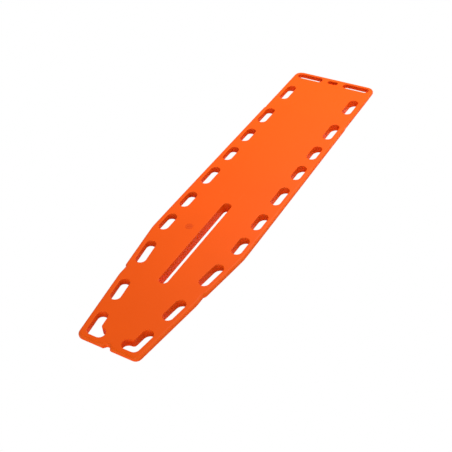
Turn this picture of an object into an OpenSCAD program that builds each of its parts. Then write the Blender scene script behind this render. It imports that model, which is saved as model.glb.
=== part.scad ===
// Spine board: a long flat stretcher with openings all round for hands and straps.
// Two moulded half shells meet at mid rail. Foam fills them, round two stiffening tubes.
// X runs across the board, Y towards the head and Z up.
// The origin is on the floor, under the middle of the board.

/* [Board] */
// Length from foot to head
length = 1829; // [1750:1:2200]
// Width at the widest place
width = 406; // [380:1:490]
// Width across the head end
head_w = 395; // [370:1:406]
// Width across the foot end, before its corners are rounded
foot_w = 252; // [240:1:300]
// Height of the deck above the floor
thick = 45; // [42:0.5:60]
// Length of the tapered sides, from the foot end
taper_len = 576; // [540:1:600]
// Radius of the two head corners
head_r = 38; // [20:1:50]
// Radius of the two foot corners
foot_r = 26; // [15:1:32]

/* [Underside] */
// Height of the thin rail along the edge
rail_h = 22; // [18:0.5:26]
// Run of the bevel that thickens the board from the rail inwards
bevel_run = 105; // [80:1:115]
// Width of the thin band across the head end
head_band = 70; // [50:1:80]

/* [Shells] */
// Wall of both shells, and of the tunnels through them
wall = 3.2; // [2.5:0.1:4]
// Distance that the seam between the shells lies below the deck
seam_drop = 11; // [8:0.5:13]

/* [Hand-holds] */
// Width of the hand-holds
hold_w = 41; // [36:1:46]
// Length of the long hand-holds
hold_long = 116; // [106:1:122]
// Length of the short hand-holds
hold_short = 96; // [86:1:102]
// Distance from the straight side to the middle of a hand-hold
hold_in = 42; // [36:1:50]
// Distance from the tapered side to the middle of a hand-hold
hold_in_taper = 43; // [38:1:50]
// Distance from the head end to the first hand-hold
first_hold = 136; // [120:1:150]

/* [Corner holds at the foot] */
// Width of a corner hold's leg and toe
boot_w = 42; // [34:1:43]
// Length of its leg, along the board
boot_len = 106; // [90:1:120]
// Width of solid rail outside the leg
boot_rail = 24; // [20:1:34]
// Distance from the board's middle line to the tip of the toe
toe_in = 36; // [30:1:38]
// Distance from the foot end to the toe
boot_end = 22; // [16:1:28]

/* [Head end] */
// Length of each strap slot across the head end
strap_len = 126; // [100:1:130]
// Width of each strap slot
strap_w = 35; // [24:1:36]
// Distance from the middle line to the middle of a strap slot
strap_x = 115; // [112:1:118]
// Distance from the head end to the middle of the slots and the eye
strap_in = 40; // [36:1:50]
// Length of the eye across the board
eye_len = 50; // [40:1:56]
// Width of the eye
eye_w = 25; // [20:1:32]

/* [Middle slot] */
// Length of the middle slot
slot_len = 486; // [400:1:520]
// Width of the middle slot
slot_w = 37; // [32:1:44]
// Distance that the slot starts below the head end of the sixth hand-hold
slot_drop = 4; // [0:1:20]

/* [Edge details] */
// Depth of the step in each long side near the head
step_in = 2.5; // [1:0.5:4]
// Distance from the head end to that step
step_from_head = 345; // [320:1:370]
// Depth of the notch in each tapered side
notch_in = 7; // [3:0.5:8]
// Distance from the foot end to that notch
notch_from_foot = 358; // [340:1:380]
// Width of the notch in the foot end
foot_notch_w = 30; // [20:1:40]
// Depth of the notch in the foot end
foot_notch_in = 13; // [8:0.5:15]

/* [Stiffening tubes] */
// Outside diameter of a tube
tube_d = 25; // [20:0.5:26]
// Wall of a tube
tube_wall = 2; // [1.5:0.1:3]
// Distance from the middle line to a tube's axis
tube_x = 60; // [58:1:62]
// Distance from the head end to a tube's cap
tube_from_head = 160; // [155:1:190]
// Distance from the foot end to a tube's cap
tube_from_foot = 142; // [140:1:170]
// Thickness of the flange of a tube cap
cap_t = 3; // [2:0.5:4]
// Length of a cap's spigot in its tube
cap_spigot = 14; // [8:1:20]
// Number of cradles under each tube
cradles = 6; // [3:1:8]
// Thickness of a cradle
cradle_t = 4; // [3:0.5:5]

/* [Plugs] */
// Diameter of the plugs' flanges
plug_d = 30; // [26:1:34]
// Thickness of the plugs' flanges
plug_t = 1.4; // [1:0.1:1.6]
// Diameter of the plugs' stems
stem_d = 20; // [14:1:22]
// Length of the plugs' stems
stem_len = 8; // [7:0.5:11]
// Distance from the middle line to the filler plug
filler_x = 70; // [66:1:76]
// Distance that the vent plugs sit above the floor
vent_up = 0.5; // [0.5:0.1:1]

/* [Hidden] */
$fn = 64;

orange = [0.98, 0.36, 0.08];
foam_buff = [0.90, 0.82, 0.62];
composite = [0.14, 0.14, 0.15];
cap_grey = [0.45, 0.46, 0.48];

half_w = width / 2;
head_y = length / 2;
foot_y = -length / 2;
seam_z = thick - seam_drop;
rail_z = thick - rail_h;
over = 1;
// Largest angle between the points of a rounded corner
arc_step = 9;

// The bevel planes run on past the rail, so that they cut it cleanly
bevel_rise = rail_z + 8;
bevel_reach = bevel_run * bevel_rise / rail_z;
past = 2 * length;

// The tapered side: its slope, its angle to the middle line, and x on it at any y
taper_y = foot_y + taper_len;
taper = (half_w - foot_w / 2) / taper_len;
taper_a = atan(taper);
function taper_x(y) = half_w - taper * (taper_y - y);

// Hand-holds down one side, head to foot, and the webs between them, the last one above the
// corner hold. The webs share what length the holds leave, in these proportions. The two holds
// on the tapered side are a little longer.
long_more = 5;
short_more = 9;
hold_lens = [hold_long, hold_long, hold_short, hold_short, hold_long, hold_short, hold_short,
             hold_long + long_more, hold_short + short_more];
webs = [87, 58, 51, 57, 62, 51, 67, 86, 58];
hold_count = len(hold_lens);
web_unit = (length - first_hold - total(hold_lens, hold_count) - boot_len - boot_end)
           / total(webs, hold_count);
function total(list, n) = n == 0 ? 0 : list[n - 1] + total(list, n - 1);
function hold_top(i) = head_y - first_hold - total(hold_lens, i) - web_unit * total(webs, i);
function hold_y(i) = hold_top(i) - hold_lens[i] / 2;
function on_taper(i) = hold_top(i) < taper_y;
function hold_x(i) = on_taper(i) ? taper_x(hold_y(i)) - hold_in_taper / cos(taper_a)
                                 : min(half_w, straight_x(hold_y(i))) - hold_in;

// The long side widens slightly from the step down to the widest place
step_y = head_y - step_from_head;
widest_up = 140;
widest_y = taper_y + widest_up;
step_x = head_w / 2 + step_in;
function straight_x(y) = y > step_y ? head_w / 2
                       : step_x + (half_w - step_x) * (step_y - y) / (step_y - widest_y);

slot_y = hold_top(5) - slot_drop - slot_len / 2;

// A corner hold's outline, clockwise, as [x, y, corner radius]: a leg along the tapered side and a
// toe that turns in at the foot end
boot_low = foot_y + boot_end;
boot_high = boot_low + boot_len;
toe_high = boot_low + boot_w;
// A shade under half the width, so that two arcs never meet
boot_r = 0.49 * boot_w;
function leg_x(y, in) = taper_x(y) - in / cos(taper_a);

// The arc between leg and toe takes no more than the toe's own arc leaves of their shared side
boot_side = leg_x(toe_high, boot_rail + boot_w) - toe_in;
boot_blend = min(12, (boot_side - boot_r) / tan(45 - taper_a / 2));
boot = [
    [leg_x(boot_high, boot_rail), boot_high, boot_r],
    [leg_x(boot_low, boot_rail), boot_low, boot_r],
    [toe_in, boot_low, boot_r],
    [toe_in, toe_high, boot_r],
    [leg_x(toe_high, boot_rail + boot_w), toe_high, boot_blend],
    [leg_x(boot_high, boot_rail + boot_w), boot_high, boot_r]
];

// The tubes' tops clear the stem of the filler plug, which comes down beside one of them
stem_clear = 0.5;
tube_z = thick - stem_len - stem_clear - tube_d / 2;
tube_head_y = head_y - tube_from_head;
tube_foot_y = foot_y + tube_from_foot;
tube_len = tube_head_y - tube_foot_y - 2 * cap_t;
tube_mid_y = (tube_head_y + tube_foot_y) / 2;
tube_bore_d = tube_d - 2 * tube_wall;
cradle_side = 4;
cradle_w = tube_d + 2 * cradle_side;

// Plugs: one in the deck, left of the slot, and two in the floor on the middle line
filler_up = 60;
head_vent_in = 300;
foot_vent_in = 225;
filler_y = slot_y + filler_up;
head_vent_y = head_y - head_vent_in;
foot_vent_y = foot_y + foot_vent_in;
boss_wall = 3;
boss_h = stem_len - 2;

// Radii of the soft corners in the sides, and how far each edge detail spreads along its side
step_r = 6;
step_half = 4;
widest_r = 400;
taper_r = 260;
notch_r = 3;
notch_low_r = 4;
notch_h = 9;
fade_r = 60;
foot_notch_r = 4;
foot_notch_tip_r = 5;

// Right half of the outline, head to foot, as [x, y, corner radius]
notch_y = foot_y + notch_from_foot;
notch_x = taper_x(notch_y) - notch_in;
notch_fade_y = notch_y - notch_in / taper;
right_side = [
    [head_w / 2, head_y, head_r],
    [head_w / 2, step_y + step_half, step_r],
    [step_x, step_y - step_half, step_r],
    [half_w, widest_y, widest_r],
    [half_w, taper_y, taper_r],
    [taper_x(notch_y), notch_y, notch_r],
    [notch_x, notch_y - notch_h, notch_low_r],
    [notch_x, notch_fade_y, fade_r],
    [foot_w / 2, foot_y, foot_r],
    [foot_notch_w / 2, foot_y, foot_notch_r],
    [foot_notch_w / 5, foot_y + foot_notch_in, foot_notch_tip_r]
];
side_count = len(right_side);
outline = concat(right_side, [for (i = [side_count - 1 : -1 : 0])
    [-right_side[i].x, right_side[i].y, right_side[i].z]]);

// Moves each corner of a clockwise outline inwards by w, and its radius to suit
function flat(p) = [p.x, p.y];
function unit(v) = v / norm(v);
function inward(a, b) = let (d = unit(flat(b) - flat(a))) [d.y, -d.x];
function turns_in(n1, n2) = n1.x * n2.y - n1.y * n2.x < 0;
function inset(pts, w) = [for (i = [0 : len(pts) - 1]) let (
    count = len(pts),
    n1 = inward(pts[(i + count - 1) % count], pts[i]),
    n2 = inward(pts[i], pts[(i + 1) % count]),
    at = flat(pts[i]) + w * (n1 + n2) / (1 + n1 * n2),
    radius = turns_in(n1, n2) ? max(pts[i].z - w, 0.5) : pts[i].z + w)
    [at.x, at.y, radius]];

// The outline's points, with an arc at each corner
function arc(a, b, c) = let (
    u = unit(flat(a) - flat(b)),
    v = unit(flat(c) - flat(b)),
    half_a = acos(u * v) / 2,
    centre = flat(b) + unit(u + v) * b.z / sin(half_a),
    from = flat(b) + u * b.z / tan(half_a) - centre,
    to = flat(b) + v * b.z / tan(half_a) - centre,
    start = atan2(from.y, from.x),
    turn = (atan2(to.y, to.x) - start + 540) % 360 - 180,
    steps = max(2, ceil(abs(turn) / arc_step)))
    [for (k = [0 : steps]) let (g = start + turn * k / steps) centre + b.z * [cos(g), sin(g)]];
function rounded(pts) = [for (i = [0 : len(pts) - 1])
    each arc(pts[(i + len(pts) - 1) % len(pts)], pts[i], pts[(i + 1) % len(pts)])];

// An opening with round ends, along Y, grown all round by g
module slot_2d(len, w, g) {
    square([w + 2 * g, len - w], center = true);
    for (s = [-1, 1])
        translate([0, s * (len - w) / 2]) circle(d = w + 2 * g);
}

// Every opening in the board, grown all round by g
module openings_2d(g) {
    translate([0, slot_y]) slot_2d(slot_len, slot_w, g);
    translate([0, head_y - strap_in]) rotate(90) slot_2d(eye_len, eye_w, g);
    for (side = [0, 1]) mirror([side, 0]) {
        translate([strap_x, head_y - strap_in]) rotate(90) slot_2d(strap_len, strap_w, g);
        polygon(rounded(inset(boot, -g)));
        for (i = [0 : hold_count - 1])
            translate([hold_x(i), hold_y(i)])
                rotate(on_taper(i) ? -taper_a : 0) slot_2d(hold_lens[i], hold_w, g);
    }
}

// The deep middle of the board is what three sets of bevels leave: those along the straight
// sides, those at the two ends, and one on each tapered side
module side_bevels() {
    inner = half_w - bevel_run;
    translate([0, past / 2, 0]) rotate([90, 0, 0]) linear_extrude(past)
        polygon([[-inner, 0], [inner, 0], [inner + bevel_reach, bevel_rise],
                 [-inner - bevel_reach, bevel_rise]]);
}
module end_bevels() {
    low = foot_y + bevel_run;
    high = head_y - head_band - bevel_run;
    rotate([90, 0, 90]) translate([0, 0, -width]) linear_extrude(2 * width)
        polygon([[low, 0], [high, 0], [high + bevel_reach, bevel_rise],
                 [low - bevel_reach, bevel_rise]]);
}
module taper_bevel() {
    far = -3 * width;
    translate([half_w, taper_y, 0]) rotate(-taper_a)
        translate([0, past / 2, 0]) rotate([90, 0, 0]) linear_extrude(past)
            polygon([[far, 0], [-bevel_run, 0], [bevel_reach - bevel_run, bevel_rise],
                     [far, bevel_rise]]);
}

// The whole board's outside shape, drawn in by w
module envelope(w) {
    intersection() {
        translate([0, 0, w]) linear_extrude(thick - 2 * w) polygon(rounded(inset(outline, w)));
        union() {
            translate([-width, -length, rail_z + w]) cube([2 * width, 2 * length, thick]);
            translate([0, 0, w]) intersection() {
                side_bevels();
                end_bevels();
                taper_bevel();
                mirror([1, 0, 0]) taper_bevel();
            }
        }
    }
}

// The hollow between the skins and the tunnels
module hollow() {
    difference() {
        envelope(wall);
        translate([0, 0, -over]) linear_extrude(thick + 2 * over) openings_2d(wall);
    }
}

module openings() {
    translate([0, 0, -over]) linear_extrude(thick + 2 * over) openings_2d(0);
}

// A plug with its flange at z = 0 and its stem upwards
module plug() {
    cylinder(d = plug_d, h = plug_t);
    cylinder(d = stem_d, h = stem_len);
}
module at_filler() {
    translate([-filler_x, filler_y, thick]) mirror([0, 0, 1]) children();
}
module at_vent(y) {
    translate([0, y, vent_up]) children();
}

// The thicker ring of shell that holds a plug
module boss() {
    cylinder(d = plug_d + 2 * boss_wall, h = boss_h);
}

module tube(side) {
    translate([side * tube_x, tube_head_y - cap_t, tube_z]) rotate([90, 0, 0]) difference() {
        cylinder(d = tube_d, h = tube_len);
        translate([0, 0, -over]) cylinder(d = tube_bore_d, h = tube_len + 2 * over);
    }
}

// A cap: a flange against the tube's end and a spigot in its bore
module tube_cap(side, end) {
    end_y = end > 0 ? tube_head_y : tube_foot_y;
    translate([side * tube_x, end_y, tube_z]) rotate([end * 90, 0, 0]) {
        cylinder(d = tube_d, h = cap_t);
        cylinder(d = tube_bore_d, h = cap_t + cap_spigot);
    }
}

// The room that one tube takes up, caps and all
module tube_room(side) {
    translate([side * tube_x, tube_head_y, tube_z]) rotate([90, 0, 0])
        cylinder(d = tube_d, h = tube_head_y - tube_foot_y);
}

// Cradles on the floor of the lower shell, each with a half-round seat
module tube_cradles() {
    pitch = tube_len / cradles;
    difference() {
        intersection() {
            envelope(wall / 2);
            for (side = [-1, 1]) for (i = [0 : cradles - 1])
                translate([side * tube_x - cradle_w / 2,
                           tube_mid_y + (i - (cradles - 1) / 2) * pitch - cradle_t / 2, 0])
                    cube([cradle_w, cradle_t, tube_z]);
        }
        for (side = [-1, 1]) tube_room(side);
    }
}

module deck_shell() {
    color(orange) difference() {
        union() {
            difference() {
                intersection() {
                    envelope(0);
                    translate([-width, -length, seam_z]) cube([2 * width, 2 * length, thick]);
                }
                hollow();
            }
            at_filler() boss();
        }
        openings();
        at_filler() plug();
    }
}

module base_shell() {
    color(orange) difference() {
        union() {
            difference() {
                intersection() {
                    envelope(0);
                    translate([-width, -length, -thick])
                        cube([2 * width, 2 * length, thick + seam_z]);
                }
                hollow();
            }
            at_vent(head_vent_y) boss();
            at_vent(foot_vent_y) boss();
            tube_cradles();
        }
        openings();
        at_vent(head_vent_y) translate([0, 0, -over]) cylinder(d = plug_d, h = plug_t + over);
        at_vent(head_vent_y) plug();
        at_vent(foot_vent_y) translate([0, 0, -over]) cylinder(d = plug_d, h = plug_t + over);
        at_vent(foot_vent_y) plug();
    }
}

module foam_core() {
    color(foam_buff) difference() {
        hollow();
        for (side = [-1, 1]) tube_room(side);
        tube_cradles();
        at_filler() boss();
        at_filler() plug();
        at_vent(head_vent_y) boss();
        at_vent(head_vent_y) plug();
        at_vent(foot_vent_y) boss();
        at_vent(foot_vent_y) plug();
    }
}

module left_tube() { color(composite) tube(-1); }
module right_tube() { color(composite) tube(1); }
module left_tube_head_cap() { color(cap_grey) tube_cap(-1, 1); }
module left_tube_foot_cap() { color(cap_grey) tube_cap(-1, -1); }
module right_tube_head_cap() { color(cap_grey) tube_cap(1, 1); }
module right_tube_foot_cap() { color(cap_grey) tube_cap(1, -1); }
module filler_plug() { color(orange) at_filler() plug(); }
module head_vent_plug() { color(orange) at_vent(head_vent_y) plug(); }
module foot_vent_plug() { color(orange) at_vent(foot_vent_y) plug(); }

deck_shell();
base_shell();
foam_core();
left_tube();
right_tube();
left_tube_head_cap();
left_tube_foot_cap();
right_tube_head_cap();
right_tube_foot_cap();
filler_plug();
head_vent_plug();
foot_vent_plug();
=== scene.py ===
"""Spine board: two moulded half shells over rigid foam, with stiffening tubes and plugs.

X runs across the board, Y towards the head and Z up. All lengths are in metres.
"""
import math

import bmesh
import bpy
import numpy as np
from bpy.props import FloatProperty, FloatVectorProperty, IntProperty, PointerProperty
from mathutils import Matrix, Vector
from mathutils.geometry import delaunay_2d_cdt


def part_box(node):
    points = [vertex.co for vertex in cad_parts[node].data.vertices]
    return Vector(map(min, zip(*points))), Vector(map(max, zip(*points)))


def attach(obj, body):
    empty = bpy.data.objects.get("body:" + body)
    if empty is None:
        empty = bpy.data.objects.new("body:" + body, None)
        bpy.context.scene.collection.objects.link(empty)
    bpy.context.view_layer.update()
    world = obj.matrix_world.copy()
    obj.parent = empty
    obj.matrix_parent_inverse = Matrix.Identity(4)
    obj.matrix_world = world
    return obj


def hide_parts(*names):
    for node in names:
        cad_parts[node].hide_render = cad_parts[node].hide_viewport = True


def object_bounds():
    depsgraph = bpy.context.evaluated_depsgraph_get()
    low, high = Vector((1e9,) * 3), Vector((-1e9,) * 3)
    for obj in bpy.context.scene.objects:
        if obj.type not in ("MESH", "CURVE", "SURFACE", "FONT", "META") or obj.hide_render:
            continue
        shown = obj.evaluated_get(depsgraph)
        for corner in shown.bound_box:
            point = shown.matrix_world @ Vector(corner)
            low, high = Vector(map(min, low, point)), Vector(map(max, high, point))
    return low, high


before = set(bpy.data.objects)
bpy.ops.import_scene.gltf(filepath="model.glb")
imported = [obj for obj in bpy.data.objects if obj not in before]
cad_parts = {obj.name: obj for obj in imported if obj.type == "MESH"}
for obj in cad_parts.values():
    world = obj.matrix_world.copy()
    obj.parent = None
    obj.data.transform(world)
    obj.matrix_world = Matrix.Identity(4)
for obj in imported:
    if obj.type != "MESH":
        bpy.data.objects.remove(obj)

bl_info = {
    "name": "Spine board",
    "version": (1, 0, 0),
    "blender": (4, 5, 0),
    "location": "3D View > Sidebar > Spine board",
    "description": "Moulded spine board with hand-holds, strap slots, foam core and plugs",
    "category": "Add Mesh",
}

MM = 0.001
CAD_LOW, CAD_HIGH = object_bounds()

ARC_STEP = math.radians(9)      # turn between two points of a rounded corner
STRAIGHT_STEP = 12 * MM         # longest run between two points of a straight
ROUND_STEPS = 7                 # steps in a rounded edge
SUPPORT = 1 * MM                # flat margin that keeps a rounded edge's shading off the face
LEAST_RADIUS = 0.5 * MM         # of a corner that shrinks as it is drawn in
LEAST_RIM = 1 * MM              # of the rims inside the shells
CIRCLE_STEPS = 64
END_ROUND = 0.49                # radius at the ends of a corner hold, as a share of its width
SEAT_STEPS = 24                 # across the half-round seat of a cradle
CREASE_ANGLE = math.radians(38)
CREASE = 0.16                   # softness of the underside's creases, as a share of the bevel
FENCE = 0.6                     # share of a face's spacing that its points keep from a border
TOUCHING = 1e-9                 # points this close are one

# Spacing of the points that fill each face
DECK_GRID, UNDER_GRID, INNER_GRID = 22 * MM, 11 * MM, 13 * MM
FOAM_TOP_GRID, FOAM_UNDER_GRID, PLUG_GRID = 30 * MM, 15 * MM, 3 * MM

# Each softbox: its name, its power's setting, its place, its width and the point it faces
SOFTBOXES = (("Overhead softbox", "key_power", (0.3, 1.3, 2.2), 1.8, (0, 0.4, 0)),
             ("Foot softbox", "fill_power", (0.6, -3.2, 0.4), 1.0, (0, -0.9, 0.03)))
FLOOR_REACH = 30.0
FLOOR_DROP = 1 * MM             # under the board, so that the two faces never mix


# ---------------------------------------------------------------- settings

def size(name, text, millimetres):
    """A length property whose default is given in millimetres."""
    return FloatProperty(name=name, description=text, default=millimetres * MM, min=0.0,
                         subtype="DISTANCE", unit="LENGTH", precision=4)


def plain(name, text, value, **kind):
    """A number that is never negative."""
    return FloatProperty(name=name, description=text, default=value, min=0.0, **kind)


def angle(name, text, degrees):
    return FloatProperty(name=name, description=text, default=math.radians(degrees),
                         subtype="ANGLE", unit="ROTATION")


def colour(name, text, value):
    """A linear colour property."""
    return FloatVectorProperty(name=name, description=text, default=value, min=0.0, max=1.0,
                               size=3, subtype="COLOR")


class BoardSizes(bpy.types.PropertyGroup):
    """Overall sizes of the board and of its shells."""
    width: size("Width", "Width across the widest place", (CAD_HIGH.x - CAD_LOW.x) / MM)
    length: size("Length", "Length from foot to head", (CAD_HIGH.y - CAD_LOW.y) / MM)
    thickness: size("Thickness", "Height of the deck", (CAD_HIGH.z - CAD_LOW.z) / MM)
    head_width: size("Head width", "Width across the head end", 395)
    foot_width: size("Foot width", "Width across the foot end, before its corners", 252)
    head_radius: size("Head radius", "Radius of the two head corners", 38)
    foot_radius: size("Foot radius", "Radius of the two foot corners", 26)
    taper_length: size("Taper length", "Length of the tapered sides", 576)
    widest_above: size("Widest above taper", "From the taper up to the full width", 140)
    rail_height: size("Rail height", "Height of the thin rail along the edge", 22)
    bevel_run: size("Bevel run", "Run of the bevel from the rail inwards", 105)
    head_band: size("Head band", "Width of the thin band across the head end", 70)
    wall: size("Wall", "Wall of both shells and of the tunnels", 3.2)
    seam_drop: size("Seam drop", "Distance from the deck down to the seam", 11)


class EdgeSizes(bpy.types.PropertyGroup):
    """Roundings, the parting groove, and the small steps and notches in the edge."""
    rail_round: size("Rail rounding", "Run of the deck's round edge along the rail", 10)
    under_round: size("Lower rounding", "Run of the round edge under the rail", 9)
    rim_round: size("Rim rounding", "Radius round the rim of every opening", 2.2)
    head_fall: size("Head fall", "How far the deck falls away at the head edge", 5)
    head_fall_run: size("Head fall run", "From the head edge to where it starts to fall", 30)
    groove: size("Parting groove", "Half width of the groove along the seam", 0.5)
    step_depth: size("Step depth", "Depth of the step in each long side", 2.5)
    step_from_head: size("Step place", "From the head end to that step", 345)
    notch_depth: size("Notch depth", "Depth of the notch in each tapered side", 7)
    notch_from_foot: size("Notch place", "From the foot end to that notch", 358)
    foot_notch_width: size("Foot notch width", "Width of the notch in the foot end", 30)
    foot_notch_depth: size("Foot notch depth", "Depth of the notch in the foot end", 13)


class OpeningSizes(bpy.types.PropertyGroup):
    """Hand-holds, corner holds, strap slots, the eye and the middle slot."""
    hold_width: size("Hold width", "Width of the hand-holds", 41)
    hold_long: size("Long hold", "Length of the long hand-holds", 116)
    hold_short: size("Short hold", "Length of the short hand-holds", 96)
    long_extra: size("Long extra", "Extra length of the long hold on the taper", 5)
    short_extra: size("Short extra", "Extra length of the short hold on the taper", 9)
    hold_inset: size("Hold inset", "From the straight side to a hold's middle", 42)
    hold_taper_inset: size("Taper inset", "From the tapered side to a hold's middle", 43)
    first_hold: size("First hold", "From the head end to the first hold", 136)
    corner_width: size("Corner hold width", "Width of a corner hold's leg and toe", 42)
    corner_length: size("Corner hold length", "Length of a corner hold's leg", 106)
    corner_rail: size("Corner rail", "Solid rail outside a corner hold", 24)
    toe_inset: size("Toe inset", "From the middle line to the tip of the toe", 36)
    corner_end: size("Corner end", "From the foot end to the toe", 22)
    corner_blend: size("Corner blend", "Radius between the leg and the toe", 12)
    strap_length: size("Strap slot length", "Length of each strap slot", 126)
    strap_width: size("Strap slot width", "Width of each strap slot", 35)
    strap_offset: size("Strap slot offset", "From the middle line to a strap slot", 115)
    strap_inset: size("Strap slot inset", "From the head end to the strap slots", 40)
    eye_length: size("Eye length", "Length of the eye across the board", 50)
    eye_width: size("Eye width", "Width of the eye", 25)
    slot_length: size("Middle slot length", "Length of the middle slot", 486)
    slot_width: size("Middle slot width", "Width of the middle slot", 37)
    slot_drop: size("Middle slot drop", "From the sixth hold's end down to the slot", 4)


class FittingSizes(bpy.types.PropertyGroup):
    """Plugs, their bosses and the cradles under the tubes."""
    flange_gap: size("Flange gap", "Gap round a plug's flange", 0.25)
    stem_gap: size("Stem gap", "Gap round a plug's stem", 0.05)
    flange_thickness: size("Flange thickness", "Thickness of a plug's flange", 1.4)
    stem_diameter: size("Stem diameter", "Diameter of a plug's stem", 20)
    boss_wall: size("Boss wall", "Wall of the boss round a plug", 3)
    boss_short: size("Boss shortfall", "How far a stem stands out of its boss", 2)
    coin_slot: size("Coin slot", "Width of the turning slot in a plug", 2.6)
    coin_slot_depth: size("Coin slot depth", "Depth of the turning slot", 0.8)
    cradle_count: IntProperty(name="Cradles", description="Cradles under each tube",
                              default=6, min=1)
    cradle_thickness: size("Cradle thickness", "Thickness of a cradle", 4)
    cradle_margin: size("Cradle margin", "How far a cradle is wider than its tube", 8)


class Finishes(bpy.types.PropertyGroup):
    """Colours and surface detail."""
    shell: colour("Shell", "Moulded orange polyethylene", (0.97, 0.107, 0.003))
    shell_worn: colour("Worn shell", "Shell where straps and hands rub it", (0.96, 0.19, 0.035))
    plug: colour("Plug", "Orange of the plugs", (0.84, 0.085, 0.004))
    foam: colour("Foam", "Rigid foam", (0.80, 0.66, 0.40))
    # Painted shade: a darker colour laid into the foam's cells where shade would fall
    foam_cell_shade: colour("Painted cell shade", "Shadowed cells of the foam", (0.56, 0.42, 0.22))
    fibre: colour("Fibre", "Fibre bundles of the tubes", (0.035, 0.036, 0.040))
    resin: colour("Resin", "Resin between the bundles", (0.010, 0.010, 0.012))
    cap: colour("Cap", "Nylon of the tube caps", (0.17, 0.175, 0.185))
    grain_depth: size("Grain depth", "Depth of the moulded grain", 0.018)
    ripple_depth: size("Ripple depth", "Depth of the slow ripples in the skin", 0.22)
    scratch_depth: size("Scratch depth", "Depth of the fine scratches", 0.03)


class StageSettings(bpy.types.PropertyGroup):
    """Camera, lights and floor."""
    azimuth: angle("Azimuth", "Camera's turn round the board", 33.49)
    elevation: angle("Elevation", "Camera's height above the horizon", 41.06)
    roll: angle("Roll", "Camera's turn about its own axis", 5.21)
    distance: size("Distance", "From the camera to its target", 3154.7)
    target: FloatVectorProperty(name="Target", description="Point that the camera looks at",
                                default=(0.0560, -0.2161, 0.044), subtype="TRANSLATION")
    lens: FloatProperty(name="Lens", description="Focal length in millimetres",
                        default=66.04, min=1.0)
    key_power: plain("Key power", "Softbox over the head end", 66.0, unit="POWER")
    fill_power: plain("Fill power", "Low softbox beyond the foot end", 28.0, unit="POWER")
    sky: plain("Sky", "Strength of the even light from all round", 0.32, soft_max=2.0)
    floor: colour("Floor", "Colour of the floor as it lights the board", (0.9, 0.9, 0.9))


# ---------------------------------------------------------------- plan of the board

def unit(v):
    return v / np.linalg.norm(v)


def inward(a, b):
    """Direction into the board from a clockwise edge that runs from a to b."""
    d = unit(np.subtract(b[:2], a[:2]))
    return np.array([d[1], -d[0]])


class CornerLoop:
    """A closed line with rounded corners, given clockwise as (x, y, radius)."""

    def __init__(self, corners, grows):
        self.corners = corners
        self.sign = -1 if grows else 1
        arcs = self._arcs(0)
        self.steps = [max(3, math.ceil(abs(turn) / ARC_STEP)) for *_, turn in arcs]
        ends = [self._point(a, 1) for a in arcs]
        starts = [self._point(a, 0) for a in arcs[1:] + arcs[:1]]
        self.runs = [max(1, math.ceil(np.linalg.norm(b - a) / STRAIGHT_STEP))
                     for a, b in zip(ends, starts)]

    @staticmethod
    def _point(arc, t):
        centre, radius, start, turn = arc
        a = start + turn * t
        return centre + radius * np.array([math.cos(a), math.sin(a)])

    def _arcs(self, into):
        """Each corner's arc, once the line is drawn this far into the board."""
        w = self.sign * into
        count = len(self.corners)
        moved = []
        for i, (x, y, r) in enumerate(self.corners):
            n1 = inward(self.corners[i - 1], self.corners[i])
            n2 = inward(self.corners[i], self.corners[(i + 1) % count])
            at = np.array([x, y]) + w * (n1 + n2) / (1 + n1 @ n2)
            turns_in = n1[0] * n2[1] - n1[1] * n2[0] < 0
            moved.append((at, max(r - w, LEAST_RADIUS) if turns_in else r + w))
        arcs = []
        for i, (b, r) in enumerate(moved):
            u = unit(moved[i - 1][0] - b)
            v = unit(moved[(i + 1) % count][0] - b)
            half = math.acos(np.clip(u @ v, -1, 1)) / 2
            centre = b + unit(u + v) * r / math.sin(half)
            first = b + u * r / math.tan(half) - centre
            last = b + v * r / math.tan(half) - centre
            start = math.atan2(first[1], first[0])
            turn = (math.atan2(last[1], last[0]) - start + 3 * math.pi) % (2 * math.pi) - math.pi
            arcs.append((centre, r, start, turn))
        return arcs

    def ring(self, into):
        """The line's points, this far into the board; always the same number of them."""
        arcs = self._arcs(into)
        points = []
        for i, (arc, steps, runs) in enumerate(zip(arcs, self.steps, self.runs)):
            points += [self._point(arc, k / steps) for k in range(steps + 1)]
            end, start = points[-1], self._point(arcs[(i + 1) % len(arcs)], 0)
            points += [end + (start - end) * k / runs for k in range(1, runs)]
        return np.array(points)


class SlotLoop:
    """An opening with round ends."""

    def __init__(self, centre, length, width, angle):
        self.centre = np.array(centre)
        self.half = (length - width) / 2
        self.radius = width / 2
        self.angle = angle
        self.steps = math.ceil(math.pi / ARC_STEP)
        self.runs = math.ceil(2 * self.half / STRAIGHT_STEP)

    def ring(self, into):
        r = self.radius + into
        along = np.array([math.cos(self.angle), math.sin(self.angle)])
        points = []
        for end in (0, 1):
            centre = self.centre + along * self.half * (1 - 2 * end)
            a0 = self.angle - math.pi / 2 + math.pi * end
            turn = [a0 + math.pi * k / self.steps for k in range(self.steps + 1)]
            points += [centre + r * np.array([math.cos(a), math.sin(a)]) for a in turn]
            back = -along if end == 0 else along
            points += [points[-1] + back * 2 * self.half * k / self.runs
                       for k in range(1, self.runs)]
        return np.array(points)


class RoundLoop:
    """A round hole that grows into the board, or a round piece that shrinks inwards."""

    def __init__(self, centre, radius=0.0, grows=True):
        self.centre = np.array(centre)
        self.radius = radius
        self.sign = 1 if grows else -1

    def ring(self, into):
        a = np.linspace(0, 2 * math.pi, CIRCLE_STEPS, endpoint=False)
        r = self.radius + self.sign * into
        return self.centre + r * np.stack([np.cos(a), np.sin(a)], 1)


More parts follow.
